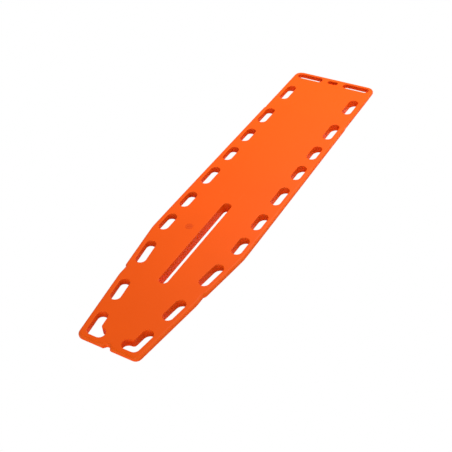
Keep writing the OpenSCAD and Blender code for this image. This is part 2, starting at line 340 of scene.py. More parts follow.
class BoxLoop:
    """A rectangle whose two long sides are divided evenly."""

    def __init__(self, centre, width, depth, runs):
        self.centre = np.array(centre)
        self.width, self.depth, self.runs = width, depth, runs

    def ring(self, into):
        x = np.linspace(-0.5, 0.5, self.runs + 1) * (self.width + 2 * into)
        y = np.full_like(x, self.depth / 2 + into)
        near, far = np.stack([x, -y], 1), np.stack([x[::-1], y], 1)
        return self.centre + np.concatenate([near, far])


def soft_max(a, b, k):
    """The larger of two, with the crease between them rounded off."""
    h = np.maximum(k - np.abs(a - b), 0) / k
    return np.maximum(a, b) + h * h * k / 4


class Plan:
    """The board from above, and the height of its underside."""

    WEBS = [87, 58, 51, 57, 62, 51, 67, 86, 58]     # shares of the length between the holds

    def __init__(self, scene):
        b, e, o = scene.board_sizes, scene.board_edges, scene.board_openings
        self.sizes, self.edges = b, e
        self.top = b.thickness
        self.seam = b.thickness - b.seam_drop
        self.inner_rim = max(e.rim_round - b.wall, LEAST_RIM)
        self.rail = b.thickness - b.rail_height
        self.half = b.width / 2
        self.head, self.foot = b.length / 2, -b.length / 2
        self.taper_y = self.foot + b.taper_length
        self.taper = (self.half - b.foot_width / 2) / b.taper_length
        self.taper_angle = math.atan(self.taper)
        self.step_y = self.head - e.step_from_head
        self.outline = CornerLoop(self._outline(), grows=False)
        self.openings = self._openings(o)

    def taper_x(self, y):
        return self.half - self.taper * (self.taper_y - y)

    def straight_x(self, y):
        """X of the long side, which widens slightly below its step."""
        b = self.sizes
        if y > self.step_y:
            return b.head_width / 2
        low = self.taper_y + b.widest_above
        below = b.head_width / 2 + self.edges.step_depth
        return below + (self.half - below) * (self.step_y - y) / (self.step_y - low)

    def _outline(self):
        b, e = self.sizes, self.edges
        notch_y = self.foot + e.notch_from_foot
        notch_x = self.taper_x(notch_y) - e.notch_depth
        step_half, notch_height = 4 * MM, 9 * MM
        step_r, widest_r, taper_r = 6 * MM, 400 * MM, 260 * MM
        notch_r, notch_low_r, fade_r = 3 * MM, 4 * MM, 60 * MM
        foot_notch_r, foot_tip_r = 4 * MM, 5 * MM
        right = [
            (b.head_width / 2, self.head, b.head_radius),
            (b.head_width / 2, self.step_y + step_half, step_r),
            (b.head_width / 2 + e.step_depth, self.step_y - step_half, step_r),
            (self.half, self.taper_y + b.widest_above, widest_r),
            (self.half, self.taper_y, taper_r),
            (self.taper_x(notch_y), notch_y, notch_r),
            (notch_x, notch_y - notch_height, notch_low_r),
            (notch_x, notch_y - e.notch_depth / self.taper, fade_r),
            (b.foot_width / 2, self.foot, b.foot_radius),
            (e.foot_notch_width / 2, self.foot, foot_notch_r),
            (e.foot_notch_width / 5, self.foot + e.foot_notch_depth, foot_tip_r),
        ]
        return right + [(-x, y, r) for x, y, r in reversed(right)]

    def _holds(self, o):
        """Each hand-hold's (x, y, length, lean), down the right side from the head."""
        lengths = [o.hold_long, o.hold_long, o.hold_short, o.hold_short, o.hold_long,
                   o.hold_short, o.hold_short, o.hold_long + o.long_extra,
                   o.hold_short + o.short_extra]
        spare = self.sizes.length - o.first_hold - sum(lengths) - o.corner_length - o.corner_end
        top = self.head - o.first_hold
        for length, web in zip(lengths, self.WEBS):
            y = top - length / 2
            if top < self.taper_y:
                x = self.taper_x(y) - o.hold_taper_inset / math.cos(self.taper_angle)
                yield x, y, length, self.taper_angle
            else:
                yield min(self.half, self.straight_x(y)) - o.hold_inset, y, length, 0
            top -= length + spare * web / sum(self.WEBS)

    def _openings(self, o):
        holds = list(self._holds(o))
        sixth_top = holds[5][1] + holds[5][2] / 2
        self.slot_y = sixth_top - o.slot_drop - o.slot_length / 2
        strap_y = self.head - o.strap_inset
        upright = math.pi / 2
        loops = [SlotLoop((0, self.slot_y), o.slot_length, o.slot_width, upright),
                 SlotLoop((0, strap_y), o.eye_length, o.eye_width, 0)]
        low = self.foot + o.corner_end
        high = low + o.corner_length
        toe = low + o.corner_width
        r = END_ROUND * o.corner_width

        def leg(y, inset):
            return self.taper_x(y) - inset / math.cos(self.taper_angle)

        inner = o.corner_rail + o.corner_width
        corner = [(leg(high, o.corner_rail), high, r), (leg(low, o.corner_rail), low, r),
                  (o.toe_inset, low, r), (o.toe_inset, toe, r),
                  (leg(toe, inner), toe, o.corner_blend), (leg(high, inner), high, r)]
        mirrored = [(-x, y, r) for x, y, r in reversed(corner)]
        loops += [CornerLoop(corner, grows=True), CornerLoop(mirrored, grows=True)]
        for side in (-1, 1):
            loops.append(SlotLoop((side * o.strap_offset, strap_y), o.strap_length,
                                  o.strap_width, 0))
            loops += [SlotLoop((side * x, y), length, o.hold_width, upright - side * lean)
                      for x, y, length, lean in holds]
        return loops

    def deck(self, xy):
        """Height of the deck: flat, then falling away to the head edge."""
        e = self.edges
        along = np.clip(1 - (self.head - xy[:, 1]) / e.head_fall_run, 0, 1)
        return self.top - e.head_fall * along ** 2

    def floor(self, xy):
        """Height of the underside: deep in the middle, rising to the rail on every edge."""
        run = self.sizes.bevel_run
        x, y = np.abs(xy[:, 0]), xy[:, 1]
        side = 1 - (self.half - x) / run
        lean = (self.half - self.taper * (self.taper_y - y) - x) * math.cos(self.taper_angle)
        foot = 1 - (y - self.foot) / run
        head = 1 - (self.head - self.sizes.head_band - y) / run
        head = -soft_max(-head, np.full_like(head, -1.0), CREASE)
        rise = soft_max(soft_max(side, 1 - lean / run, CREASE), soft_max(foot, head, CREASE),
                        CREASE)
        return self.rail * soft_max(rise, np.zeros_like(rise), CREASE)


# ---------------------------------------------------------------- meshes

def level(z):
    return lambda xy: np.full(len(xy), z)


def raised(height, by):
    return lambda xy: height(xy) + by


def round_edge(into, run, middle, face):
    """Half a rounded edge, from the face to the middle of the side: (into, height, rim)."""
    def at(share):
        return lambda xy: middle + (face(xy) - middle) * share
    turns = [math.pi / 2 * k / ROUND_STEPS for k in range(ROUND_STEPS + 1)]
    return [(into + run * (1 - math.sin(t)), at(math.cos(t)), math.sin(2 * t)) for t in turns]


def round_rim(into, radius, face, way):
    """A rounded rim, from the face into an opening. way is 1 upwards and -1 downwards."""
    turns = [math.pi / 2 * k / ROUND_STEPS for k in range(ROUND_STEPS + 1)]
    return [(into + radius * (1 - math.sin(t)), raised(face, way * radius * (1 - math.cos(t))),
             math.sin(t) ** 0.5) for t in turns]


def inside(points, ring):
    """Which points lie inside a closed ring."""
    x, y = points[:, :1], points[:, 1:2]
    x1, y1 = ring[:, 0], ring[:, 1]
    x2, y2 = np.roll(x1, -1), np.roll(y1, -1)
    rise = np.where(y2 == y1, 1.0, y2 - y1)
    hits = ((y1 > y) != (y2 > y)) & (x < x1 + (y - y1) * (x2 - x1) / rise)
    return hits.sum(axis=1) % 2 == 1


def even_points(low, high, spacing):
    """Points in staggered rows, so that triangles between them come out even."""
    rows = []
    for k, y in enumerate(np.arange(low[1], high[1], spacing * math.sqrt(0.75))):
        x = np.arange(low[0] + (k % 2) * spacing / 2, high[0], spacing)
        rows.append(np.stack([x, np.full_like(x, y)], 1))
    return np.concatenate(rows)


def flood(triangles, first, walls):
    """Every triangle that can be reached from the first without crossing a wall."""
    sides = [[tuple(sorted((t[i], t[i - 1]))) for i in range(3)] for t in triangles.tolist()]
    beside = {}
    for k, edges in enumerate(sides):
        for edge in edges:
            if edge not in walls:
                beside.setdefault(edge, []).append(k)
    reached, front = {first}, [first]
    while front:
        for edge in sides[front.pop()]:
            for k in beside.get(edge, ()):
                if k not in reached:
                    reached.add(k)
                    front.append(k)
    return sorted(reached)


class Sheet:
    """Points and faces of one closed skin, while it is being made."""

    def __init__(self):
        self.points, self.rims, self.faces = [], [], []
        self.count = 0

    def add(self, xy, z, rim=0.0):
        ids = np.arange(self.count, self.count + len(xy))
        self.points.append(np.column_stack([xy, z]))
        self.rims.append(np.full(len(xy), rim))
        self.count += len(xy)
        return ids

    def bridge(self, a, b):
        """Four-sided faces between two rings."""
        a2, b2 = np.roll(a, -1), np.roll(b, -1)
        self.faces += np.stack([a, a2, b2, b], 1).tolist()

    def chain(self, loop, profile):
        """Rings of a loop down a profile, joined up. Gives its two ends as borders."""
        borders = []
        last = None
        for into, height, rim in profile:
            xy = loop.ring(into)
            ids = self.add(xy, height(xy), rim)
            if last is not None:
                self.bridge(last, ids)
            last = ids
            borders.append((loop, into, ids))
        return borders[0], borders[-1]

    def skins(self, plan, rail, tunnel):
        """Skins of the board's edge and of every opening."""
        return [self.chain(plan.outline, rail)] + [self.chain(loop, tunnel)
                                                   for loop in plan.openings]

    def fill(self, borders, spacing, height):
        """Fills between borders with even triangles. The first border is round the others."""
        rings = [loop.ring(into) for loop, into, _ in borders]
        grid = even_points(rings[0].min(0), rings[0].max(0), spacing)
        for k, (loop, into, _) in enumerate(borders):
            fence = loop.ring(into + FENCE * spacing)
            within = np.zeros(len(grid), bool)
            low, high = fence.min(0), fence.max(0)
            close = np.all((grid >= low) & (grid <= high), axis=1)
            within[close] = inside(grid[close], fence)
            grid = grid[within if k == 0 else ~within]
        ids = np.concatenate([b[2] for b in borders] + [self.add(grid, height(grid))])
        flat = np.concatenate(rings + [grid])
        owner = np.concatenate([np.full(len(r), k) for k, r in enumerate(rings)]
                               + [np.full(len(grid), -1)])
        ties = []
        first = 0
        for ring in rings:
            n = len(ring)
            ties += [(first + i, first + (i + 1) % n) for i in range(n)]
            first += n
        made = delaunay_2d_cdt([Vector(p) for p in flat], ties, [], 0, TOUCHING)
        source = [found[0] for found in made[3]]
        if len(made[0]) != len(flat):
            raise RuntimeError("borders of a face cross or touch")
        triangles = np.array([[source[v] for v in face] for face in made[2]])
        mixed = np.ptp(owner[triangles], axis=1) > 0
        kept = flood(triangles, int(np.argmax(mixed)), {tuple(sorted(tie)) for tie in ties})
        self.faces += ids[triangles[kept]].tolist()

    def cap(self, ids):
        self.faces.append(list(map(int, ids)))

    def post(self, loop, low, high):
        """A closed post of a loop's shape, between two heights."""
        for end in self.chain(loop, [(0, level(low), 0), (0, level(high), 0)]):
            self.cap(end[2])

    def mesh(self, name, turn=None):
        """The finished mesh, closed, with smooth faces and sharp creases."""
        mesh = bpy.data.meshes.new(name)
        mesh.from_pydata(np.concatenate(self.points).tolist(), [], self.faces)
        mesh.attributes.new("rim", "FLOAT", "POINT").data.foreach_set(
            "value", np.concatenate(self.rims).astype(np.float32))
        shape = bmesh.new()
        shape.from_mesh(mesh)
        if any(len(edge.link_faces) != 2 for edge in shape.edges):
            raise RuntimeError(name + " isn't a closed skin")
        bmesh.ops.recalc_face_normals(shape, faces=shape.faces)
        shape.to_mesh(mesh)
        shape.free()
        if turn is not None:
            mesh.transform(turn)
        finish_mesh(mesh)
        return mesh


def finish_mesh(mesh):
    mesh.shade_smooth()
    mesh.set_sharp_from_angle(angle=CREASE_ANGLE)
    mesh.validate()
    mesh.update()


def place(name, mesh, material, slot, *nodes):
    """Puts a finished piece in the scene, in place of its plain nodes."""
    piece = bpy.data.objects.new(name, mesh)
    bpy.context.scene.collection.objects.link(piece)
    piece.data.materials.append(material)
    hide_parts(*nodes)
    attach(piece, "root")
    return piece


class Fitting:
    """A plug's place, taken from its own node."""

    def __init__(self, node, sizes, way):
        low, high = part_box(node)
        self.centre = ((low.x + high.x) / 2, (low.y + high.y) / 2)
        self.radius = (high.x - low.x) / 2
        self.depth = high.z - low.z
        self.way = way                        # 1 if the stem points up, -1 if it points down
        self.face = low.z if way > 0 else high.z
        self.sizes = sizes

    def z(self, depth):
        return level(self.face + self.way * depth)

    def hole(self, skin, into_board):
        """Profile of the hole and boss, from the skin's outer face to its inner face."""
        s = self.sizes
        r = self.radius + s.flange_gap
        stem = s.stem_diameter / 2 + s.stem_gap
        boss = self.radius + s.boss_wall
        bottom = self.depth - s.boss_short
        chamfer = 0.3 * MM
        return [(r + chamfer + SUPPORT, skin, 0), (r + chamfer, skin, 0.5),
                (r, raised(skin, self.way * chamfer), 1), (r, self.z(s.flange_thickness), 0),
                (stem, self.z(s.flange_thickness), 0), (stem, self.z(bottom), 0),
                (boss, self.z(bottom), 0), (boss, into_board, 0)]


def fittings(scene):
    s = scene.board_fittings
    return (Fitting("filler_plug", s, -1),
            [Fitting("head_vent_plug", s, 1), Fitting("foot_vent_plug", s, 1)])


def cradle_places(scene):
    """Middle of each cradle, the tube's axis height and the tube's radius."""
    s = scene.board_fittings
    places = []
    for side in ("left", "right"):
        low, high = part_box(side + "_tube")
        head_cap, foot_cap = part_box(side + "_tube_head_cap"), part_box(side + "_tube_foot_cap")
        radius = (high.x - low.x) / 2
        x, z = (low.x + high.x) / 2, (low.z + high.z) / 2
        middle = (head_cap[1].y + foot_cap[0].y) / 2
        pitch = (high.y - low.y) / s.cradle_count
        places += [(x, middle + (i - (s.cradle_count - 1) / 2) * pitch, z, radius)
                   for i in range(s.cradle_count)]
    return places


# ---------------------------------------------------------------- shells and foam

def half_shell(plan, run, face, inner, way):
    """Profiles of one half shell's edge and tunnels, from its outer face to its inner face.

    run is the run of its round edge, and way is 1 for the lower half and -1 for the upper.
    """
    wall, e, seam = plan.sizes.wall, plan.edges, level(plan.seam)
    lip = [(0, level(plan.seam - way * e.groove), 0), (e.groove, seam, 0), (wall, seam, 0)]
    rail = [(run + SUPPORT, face, 0)] + round_edge(0, run, plan.seam, face)[:-1]
    rail += lip + round_edge(wall, run, plan.seam, inner)[-2::-1]
    tunnel = [(e.rim_round + SUPPORT, face, 0)] + round_rim(0, e.rim_round, face, way)
    tunnel += lip + round_rim(wall, plan.inner_rim, inner, way)[::-1]
    return rail, tunnel


def deck_mesh(scene):
    plan = Plan(scene)
    top, ceiling = plan.deck, raised(plan.deck, -plan.sizes.wall)
    filler = fittings(scene)[0]
    sheet = Sheet()
    borders = sheet.skins(plan, *half_shell(plan, plan.edges.rail_round, top, ceiling, -1))
    borders.append(sheet.chain(RoundLoop(filler.centre), filler.hole(top, ceiling)))
    sheet.fill([b[0] for b in borders], DECK_GRID, top)
    sheet.fill([b[1] for b in borders], DECK_GRID, ceiling)
    return sheet.mesh("moulded_deck")


def base_mesh(scene):
    plan = Plan(scene)
    under, inner = plan.floor, raised(plan.floor, plan.sizes.wall)
    sheet = Sheet()
    borders = sheet.skins(plan, *half_shell(plan, plan.edges.under_round, under, inner, 1))
    borders += [sheet.chain(RoundLoop(vent.centre), vent.hole(under, inner))
                for vent in fittings(scene)[1]]
    outer = [b[0] for b in borders]
    inside_borders = [b[1] for b in borders]
    s = scene.board_fittings
    for x, y, z, radius in cradle_places(scene):
        loop = BoxLoop((x, y), 2 * radius + s.cradle_margin, s.cradle_thickness, SEAT_STEPS)

        def seat(xy, x=x, z=z, radius=radius):
            return z - np.sqrt(np.maximum(radius ** 2 - (xy[:, 0] - x) ** 2, 0))
        foot, crown = sheet.chain(loop, [(0, inner, 0), (0, seat, 0)])
        inside_borders.append(foot)
        near, far = crown[2][:SEAT_STEPS + 1], crown[2][SEAT_STEPS + 1:][::-1]
        sheet.faces += np.stack([near[:-1], near[1:], far[1:], far[:-1]], 1).tolist()
    sheet.fill(outer, UNDER_GRID, under)
    sheet.fill(inside_borders, INNER_GRID, inner)
    return sheet.mesh("moulded_base")


def cut(mesh, cutter):
    """Takes one closed mesh out of another."""
    body = bpy.data.objects.new("body", mesh)
    tool = bpy.data.objects.new("tool", cutter)
    for o in (body, tool):
        bpy.context.scene.collection.objects.link(o)
    cut_away = body.modifiers.new("room", "BOOLEAN")
    cut_away.operation, cut_away.solver, cut_away.object = "DIFFERENCE", "EXACT", tool
    bpy.context.view_layer.update()
    graph = bpy.context.evaluated_depsgraph_get()
    result = bpy.data.meshes.new_from_object(body.evaluated_get(graph))
    for o in (body, tool):
        bpy.data.objects.remove(o)
    return result


def foam_mesh(scene):
    plan = Plan(scene)
    b, e = plan.sizes, plan.edges
    top, floor = raised(plan.deck, -b.wall), raised(plan.floor, b.wall)
    rail = round_edge(b.wall, e.rail_round, plan.seam, top)
    rail += round_edge(b.wall, e.under_round, plan.seam, floor)[-2::-1]
    tunnel = round_rim(b.wall, plan.inner_rim, top, -1)
    tunnel += round_rim(b.wall, plan.inner_rim, floor, 1)[::-1]
    filler, vents = fittings(scene)
    sheet = Sheet()
    ends = sheet.skins(plan, rail, tunnel)
    upper, lower = [end[0] for end in ends], [end[1] for end in ends]
    for plug, face, side in [(filler, top, upper)] + [(v, floor, lower) for v in vents]:
        border, tip = sheet.chain(RoundLoop(plug.centre), plug.hole(face, face)[:4:-1]
                                  + [(plug.sizes.stem_diameter / 2, plug.z(plug.depth), 0)])
        side.append(border)
        sheet.cap(tip[2])
    sheet.fill(upper, FOAM_TOP_GRID, top)
    sheet.fill(lower, FOAM_UNDER_GRID, floor)
    mesh = sheet.mesh("foam_fill")
    s = scene.board_fittings
    rooms, blocks = Sheet(), Sheet()
    for x, y, z, radius in cradle_places(scene):
        block = BoxLoop((x, y), 2 * radius + s.cradle_margin, s.cradle_thickness, 1)
        blocks.post(block, 0, z)
    for side in ("left", "right"):
        low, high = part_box(side + "_tube")
        room = RoundLoop(((low.x + high.x) / 2, (low.z + high.z) / 2), (high.x - low.x) / 2)
        rooms.post(room, -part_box(side + "_tube_head_cap")[1].y,
                   -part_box(side + "_tube_foot_cap")[0].y)
    mesh = cut(mesh, rooms.mesh("rooms", Matrix.Rotation(math.pi / 2, 4, "X")))
    mesh = cut(mesh, blocks.mesh("blocks"))
    finish_mesh(mesh)
    mesh.name = "foam_fill"
    return mesh


def plug_mesh(name, fitting):
    """A snap-in plug: a flange with a turning slot, and a stem with two barbs."""
    s = fitting.sizes
    stem, flange = s.stem_diameter / 2, s.flange_thickness
    round_off, barb, tip_in = 0.5 * MM, 0.35 * MM, 1.5 * MM
    barbs, barb_above, barb_below = (4.5 * MM, 6.5 * MM), 1.2 * MM, 0.6 * MM
    chamfer, slot_share, slot_turn = 0.2 * MM, 1.15, math.radians(35)
    neck = fitting.radius - stem + barb
    face = fitting.z(0)
    profile = [(round_off + SUPPORT, face, 0)] + round_rim(0, round_off, face, fitting.way)
    profile += [(0, fitting.z(flange), 0), (neck, fitting.z(flange), 0)]
    for deep in barbs:
        profile += [(neck, fitting.z(deep - barb_above), 0), (neck - barb, fitting.z(deep), 0),
                    (neck, fitting.z(deep + barb_below), 0)]
    profile += [(neck + tip_in, fitting.z(fitting.depth), 0)]
    sheet = Sheet()
    outer, tip = sheet.chain(RoundLoop(fitting.centre, fitting.radius, grows=False), profile)
    sheet.cap(tip[2])
    slot = SlotLoop(fitting.centre, slot_share * fitting.radius, s.coin_slot, slot_turn)
    lip, bed = sheet.chain(slot, [(chamfer, face, 1), (0, fitting.z(chamfer), 0),
                                  (0, fitting.z(s.coin_slot_depth), 0)])
    sheet.fill([outer, lip], PLUG_GRID, face)
    sheet.cap(bed[2])
    return sheet.mesh(name)


# ---------------------------------------------------------------- materials

def wire(tree, target, inputs):
    """Joins or sets a node's inputs."""
    for key, value in inputs.items():
        if isinstance(value, bpy.types.NodeSocket):
            tree.links.new(value, target.inputs[key])
        else:
            target.inputs[key].default_value = value
    return target


def node(tree, kind, inputs=None, **settings):
    """Adds a node, sets it up, and joins or sets its inputs."""
    made = tree.nodes.new("ShaderNode" + kind)
    for key, value in settings.items():
        setattr(made, key, value)
    return wire(tree, made, inputs or {})


def maths(tree, operation, *values):
    return node(tree, "Math", dict(enumerate(values)), operation=operation).outputs[0]


def scaled(tree, value, slope, start):
    """The start, plus a value times the slope."""
    return maths(tree, "MULTIPLY_ADD", value, slope, start)


def new_group(name, inputs, outputs):
    """An empty node group with named inputs and outputs."""
    group = bpy.data.node_groups.new(name, "ShaderNodeTree")
    for label, kind, value in inputs:
        socket = group.interface.new_socket(label, in_out="INPUT", socket_type="NodeSocket" + kind)
        if value is not None:
            socket.default_value = value
    for label, kind in outputs:
        group.interface.new_socket(label, in_out="OUTPUT", socket_type="NodeSocket" + kind)
    source = group.nodes.new("NodeGroupInput")
    sink = group.nodes.new("NodeGroupOutput")
    place_of = node(group, "TexCoord").outputs["Object"]
    return group, source.outputs, sink, place_of


def noise(tree, place_of, scale, detail=2.0, roughness=0.5, distortion=0.0):
    return node(tree, "TexNoise", {"Vector": place_of, "Scale": scale, "Detail": detail,
                                   "Roughness": roughness, "Distortion": distortion}
                ).outputs["Fac"]


def centred(tree, value, depth):
    """A height that swings by depth about nothing."""
    return maths(tree, "MULTIPLY", maths(tree, "SUBTRACT", value, 0.5), depth)


def moulded_grain():
    """Fine grain of a blasted mould, over slow ripples in the skin."""
    group, given, out, spot = new_group(
        "Moulded grain", [("Grain scale", "Float", 900.0), ("Grain depth", "Float", 0.00002),
                          ("Ripple scale", "Float", 16.0), ("Ripple depth", "Float", 0.0002)],
        [("Height", "Float"), ("Grain", "Float")])
    grain = noise(group, spot, given["Grain scale"], 3.0, 0.6)
    ripple = noise(group, spot, given["Ripple scale"], 1.0, 0.4)
    height = maths(group, "ADD", centred(group, grain, given["Grain depth"]),
                   centred(group, ripple, given["Ripple depth"]))
    wire(group, out, {"Height": height, "Grain": grain})
    return group


def rubbed_edges():
    """Where hands, straps and floors rub: the rims, in patches along them."""
    group, given, out, spot = new_group(
        "Rubbed edges", [("Rim", "Float", 0.0), ("Amount", "Float", 0.5),
                         ("Patch scale", "Float", 22.0)], [("Mask", "Float")])
    patches = noise(group, spot, given["Patch scale"], 4.0, 0.65)
    wear = maths(group, "MULTIPLY", maths(group, "POWER", given["Rim"], 2.0),
                 scaled(group, patches, 1.6, -0.3))
    edge = node(group, "MapRange", {"Value": wear, "From Min": 0.15, "From Max": 0.75},
                interpolation_type="SMOOTHSTEP").outputs["Result"]
    wire(group, out, {"Mask": maths(group, "MULTIPLY", edge, given["Amount"])})
    return group


def fine_scratches():
    """Long thin scratches in two directions, from sliding over floors and litters."""
    group, given, out, spot = new_group(
        "Fine scratches", [("Density", "Float", 0.5), ("Depth", "Float", 0.00003)],
        [("Mask", "Float"), ("Height", "Float")])
    masks = []
    for turn, stretch in ((0.25, (260.0, 9.0, 60.0)), (-0.6, (190.0, 7.0, 60.0))):
        turned = node(group, "Mapping", {"Vector": spot, "Rotation": (0.0, 0.0, turn),
                                         "Scale": stretch}).outputs[0]
        line = noise(group, turned, 1.0, 3.0, 0.7)
        low = scaled(group, given["Density"], -0.16, 0.78)
        masks.append(node(group, "MapRange",
                          {"Value": line, "From Min": low,
                           "From Max": maths(group, "ADD", low, 0.05)}).outputs["Result"])
    mask = maths(group, "MAXIMUM", *masks)
    deep = maths(group, "MULTIPLY", given["Depth"], -1.0)
    wire(group, out, {"Mask": mask, "Height": maths(group, "MULTIPLY", mask, deep)})
    return group


def tone_shift():
    """Slow, slight changes of tone across a moulding, and a second colour mixed in by a given
    share: wear, fibre or specks, and painted shade in the foam's cells.
    """
    group, given, out, spot = new_group(
        "Tone shift", [("Colour", "Color", None), ("Worn colour", "Color", None),
                       ("Worn", "Float", 0.0), ("Scale", "Float", 5.0), ("Swing", "Float", 0.1)],
        [("Colour", "Color")])
    slow = noise(group, spot, given["Scale"], 3.0, 0.55)
    value = maths(group, "ADD", centred(group, slow, given["Swing"]), 1.0)
    toned = node(group, "HueSaturation", {"Color": given["Colour"], "Value": value}).outputs[0]
    worn = node(group, "Mix", {0: given["Worn"], 6: toned, 7: given["Worn colour"]},
                data_type="RGBA").outputs[2]
    wire(group, out, {"Colour": worn})
    return group


GROUP_MAKERS = {"Moulded grain": moulded_grain, "Rubbed edges": rubbed_edges,
                "Fine scratches": fine_scratches, "Tone shift": tone_shift}


def use(tree, name, inputs):
    """Places one of the shared node groups, which is made the first time."""
    placed = tree.nodes.new("ShaderNodeGroup")
    placed.node_tree = bpy.data.node_groups.get(name) or GROUP_MAKERS[name]()
    return wire(tree, placed, inputs).outputs


def blank(name):
    """A new material: its node tree and its Principled shader."""
    material = bpy.data.materials.new(name)
    material.use_nodes = True
    return material, material.node_tree, material.node_tree.nodes["Principled BSDF"]


def opaque(value):
    return (*value, 1.0)


def bump(tree, height):
    return node(tree, "Bump", {"Height": height, "Distance": 1.0, "Strength": 1.0}).outputs[0]


def moulded_plastic(name, main, worn, finishes, wear, density):
    """Satin moulded polyethylene."""
    found = bpy.data.materials.get(name)
    if found:
        return found
    material, tree, shader = blank(name)
    rim = node(tree, "Attribute", attribute_name="rim").outputs["Fac"]
    grain = use(tree, "Moulded grain", {"Grain scale": 900.0,
                                        "Grain depth": finishes.grain_depth,
                                        "Ripple scale": 15.0,
                                        "Ripple depth": finishes.ripple_depth})
    rubbed = use(tree, "Rubbed edges", {"Rim": rim, "Amount": wear, "Patch scale": 24.0})
    lines = use(tree, "Fine scratches", {"Density": density, "Depth": finishes.scratch_depth})
    worn_share = maths(tree, "MAXIMUM", rubbed["Mask"],
                       maths(tree, "MULTIPLY", lines["Mask"], 0.35))
    tone = use(tree, "Tone shift", {"Colour": opaque(main), "Worn colour": opaque(worn),
                                    "Worn": worn_share, "Scale": 4.0, "Swing": 0.10})
    dull = scaled(tree, grain["Grain"], 0.16, 0.38)
    height = maths(tree, "ADD", grain["Height"], lines["Height"])
    wire(tree, shader, {"Base Color": tone["Colour"], "Normal": bump(tree, height),
                        "Roughness": scaled(tree, worn_share, 0.15, dull), "IOR": 1.5,
                        "Specular IOR Level": 0.1})
    return material


def shell_plastic(finishes):
    return moulded_plastic("Orange polyethylene", finishes.shell, finishes.shell_worn,
                           finishes, 0.35, 0.45)


def plug_plastic(finishes):
    return moulded_plastic("Orange plug plastic", finishes.plug, finishes.shell_worn,
                           finishes, 0.5, 0.3)


def foam_material(finishes):
    """Rigid foam: small closed cells, a few of them broken open, with painted shade darkening the
    cells.
    """
    material, tree, shader = blank("Rigid foam")
    spot = node(tree, "TexCoord").outputs["Object"]
    cells = node(tree, "TexVoronoi", {"Vector": spot, "Scale": 700.0}).outputs["Distance"]
    broken = noise(tree, spot, 90.0, 4.0, 0.7)
    # Painted shade: darker towards each cell's edge, and more where the noise breaks cells open,
    # standing in for shade in the pits
    shade = node(tree, "MapRange", {"Value": maths(tree, "MULTIPLY", cells, broken),
                                    "From Min": 0.10, "From Max": 0.42}).outputs["Result"]
    tone = use(tree, "Tone shift", {"Colour": opaque(finishes.foam),
                                    "Worn colour": opaque(finishes.foam_cell_shade), "Worn": shade,
                                    "Scale": 9.0, "Swing": 0.16})
    pits = bump(tree, maths(tree, "MULTIPLY", cells, -0.6 * MM))
    wire(tree, shader, {"Base Color": tone["Colour"], "Normal": pits,
                        "Roughness": scaled(tree, broken, 0.2, 0.72),
                        "Specular IOR Level": 0.15})
    return material


def tube_material(finishes):
    """Carbon bundles wound over and under each other in satin resin."""
    material, tree, shader = blank("Wound composite")
    spot = node(tree, "TexCoord").outputs["Object"]
    axes = node(tree, "SeparateXYZ", {0: spot}).outputs
    bands, bands_per_metre = [], 1400.0
    for sign in (1.0, -1.0):
        slant = maths(tree, "ADD", axes[1], maths(tree, "MULTIPLY",
                                                  maths(tree, "ADD", axes[0], axes[2]), sign))
        bands.append(maths(tree, "SINE", maths(tree, "MULTIPLY", slant, bands_per_metre)))
    over = node(tree, "MapRange", {"Value": maths(tree, "MULTIPLY", *bands), "From Min": -0.6,
                                   "From Max": 0.6}).outputs["Result"]
    strands = noise(tree, spot, 2400.0, 2.0, 0.6)
    tone = use(tree, "Tone shift", {"Colour": opaque(finishes.resin),
                                    "Worn colour": opaque(finishes.fibre), "Worn": over,
                                    "Scale": 12.0, "Swing": 0.3})
    height = scaled(tree, over, 0.06 * MM, maths(tree, "MULTIPLY", strands, 0.01 * MM))
    wire(tree, shader, {"Base Color": tone["Colour"], "Normal": bump(tree, height),
                        "Roughness": scaled(tree, strands, 0.22, 0.24), "Coat Weight": 0.35,
                        "Coat Roughness": 0.2})
    return material


def cap_material(finishes):
    """Matt grey nylon with a turned face."""
    material, tree, shader = blank("Matt nylon")
    spot = node(tree, "TexCoord").outputs["Object"]
    grain = use(tree, "Moulded grain", {"Grain scale": 1500.0,
                                        "Grain depth": finishes.grain_depth,
                                        "Ripple scale": 80.0, "Ripple depth": 0.04 * MM})
    speck = noise(tree, spot, 500.0, 3.0, 0.7)
    lighter = 1.5
    worn = [c * lighter for c in finishes.cap]
    tone = use(tree, "Tone shift", {"Colour": opaque(finishes.cap), "Worn colour": opaque(worn),
                                    "Worn": maths(tree, "MULTIPLY", speck, 0.3),
                                    "Scale": 30.0, "Swing": 0.14})
    wire(tree, shader, {"Base Color": tone["Colour"], "Normal": bump(tree, grain["Height"]),
                        "Roughness": scaled(tree, grain["Grain"], 0.2, 0.48)})
    return material


# ---------------------------------------------------------------- operators

class BoardOperator(bpy.types.Operator):
    """Base of the board's operators."""
    bl_options = {"REGISTER", "UNDO"}


class BOARD_OT_deck(BoardOperator):
    """Builds the upper half shell: the deck, its rims and the upper half of every tunnel."""
    bl_idname = "board.deck"
    bl_label = "Moulded deck"

    def execute(self, context):
        scene = context.scene
        place("moulded_deck", deck_mesh(scene), shell_plastic(scene.board_finishes),
              "orange_shell", "deck_shell")
        return {"FINISHED"}


class BOARD_OT_base(BoardOperator):
    """Builds the lower half shell: the bevelled underside, bosses and tube cradles."""
    bl_idname = "board.base"
    bl_label = "Moulded base"

    def execute(self, context):
        scene = context.scene
        place("moulded_base", base_mesh(scene), shell_plastic(scene.board_finishes),
              "orange_shell", "base_shell")
        return {"FINISHED"}


class BOARD_OT_foam(BoardOperator):
    """Builds the foam core with its rooms for the tubes, cradles and plugs."""
    bl_idname = "board.foam"
    bl_label = "Foam core"

    def execute(self, context):
        scene = context.scene
        place("foam_fill", foam_mesh(scene), foam_material(scene.board_finishes), "foam",
              "foam_core")
        return {"FINISHED"}


